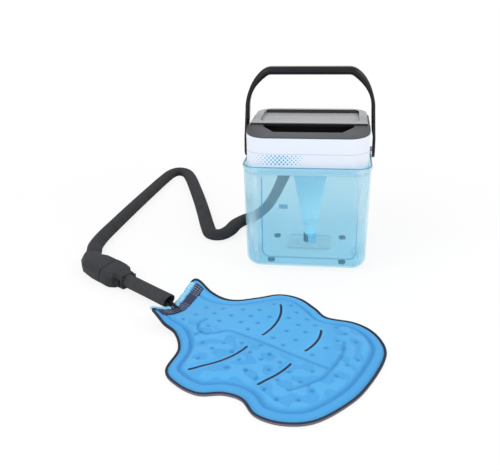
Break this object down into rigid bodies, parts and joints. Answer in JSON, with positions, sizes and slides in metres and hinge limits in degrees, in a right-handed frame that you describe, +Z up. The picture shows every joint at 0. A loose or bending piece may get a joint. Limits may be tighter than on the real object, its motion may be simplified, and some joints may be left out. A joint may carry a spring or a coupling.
{
  "type": "hot cold therapy machine",
  "caption": "Portable water therapy machine: hinged-lid tank with bail handle and screw pump, twin-line hose, quick coupling and soft contoured pad.",
  "frame": {"origin": "middle of the footprint of machine, coupling half and pad together, on the table that all of them stand on", "axes": "+Z up from the table, -Y the side that the lid's finger scoop and the pad face, +X the user's right when facing the machine"},
  "size_m": [0.5743, 1.0244, 0.3575],
  "materials": {
    "tank_plastic": "smooth translucent moulded",
    "white_plastic": "fine satin moulded",
    "black_plastic": "fine satin moulded",
    "gloss_black": "polished moulded",
    "pale_plastic": "satin moulded",
    "soft_charcoal": "soft-touch moulded",
    "steel": "brushed",
    "motor_can": "drawn and plated",
    "rubber": "matt moulded",
    "foam": "closed-cell foam skin",
    "board": "solder mask",
    "blue_film": "coated fabric, satin",
    "backing": "brushed knit",
    "piping": "woven tape",
    "webbing": "woven webbing"
  },
  "bodies": {
    "machine": {"tank": "tank_plastic", "rubber_feet": "rubber", "tank_gasket": "rubber", "lower_collar": "white_plastic", "upper_collar": "white_plastic", "top_cover": "black_plastic", "collar_screws": "steel", "lid_hinge_pin": "steel", "handle_pivots": "black_plastic", "pump_bridge": "pale_plastic", "bridge_screws": "steel", "riser": "pale_plastic", "strainer": "black_plastic", "shaft_bearing": "pale_plastic", "motor": "motor_can", "motor_cap": "pale_plastic", "control_board": "board", "power_wire": "rubber", "power_inlet": "black_plastic", "outlet_tube": "rubber", "return_tube": "rubber", "hose_elbow": "black_plastic", "hose": "foam", "coupling_hose_half": "soft_charcoal"},
    "lid": {"lid": "gloss_black", "lid_seal": "rubber"},
    "handle": {"handle": "gloss_black"},
    "rotor": {"drive_shaft": "steel", "impeller": "pale_plastic"},
    "pad": {"coupling_pad_half": "soft_charcoal", "coupling_nipples": "pale_plastic", "coupling_orings": "rubber", "stub_sleeve": "foam", "pad_tubes": "rubber", "pad_bladder": "blue_film", "pad_backing": "backing", "pad_edge": "piping", "pad_neck_band": "webbing", "pad_neck_lip": "blue_film"},
    "button_left": {"release_button_left": "black_plastic"},
    "button_right": {"release_button_right": "black_plastic"}
  },
  "joints": [
    {"name": "lid_hinge", "type": "hinge", "parent": "machine", "child": "lid", "pos_m": [0.12102, 0.29574, 0.2565], "axis": [-1, 0, 0], "range_deg": [0, 22]},
    {"name": "handle_hinge", "type": "hinge", "parent": "machine", "child": "handle", "pos_m": [0.12102, 0.20224, 0.2095], "axis": [1, 0, 0], "range_deg": [-80, 80]},
    {"name": "rotor_spin", "type": "hinge", "parent": "machine", "child": "rotor", "pos_m": [0.12302, 0.22424, 0.1], "axis": [0, 0, 1], "continuous": true},
    {"name": "coupling_pull", "type": "slide", "parent": "machine", "child": "pad", "axis": [0.809, -0.5878, 0], "range_m": [0, 0.03]},
    {"name": "button_left_press", "type": "slide", "parent": "pad", "child": "button_left", "axis": [-0.5878, -0.809, 0], "range_m": [0, 0.0025], "stiffness_N_per_m": 800},
    {"name": "button_right_press", "type": "slide", "parent": "pad", "child": "button_right", "axis": [0.5878, 0.809, 0], "range_m": [0, 0.0025], "stiffness_N_per_m": 800}
  ]
}
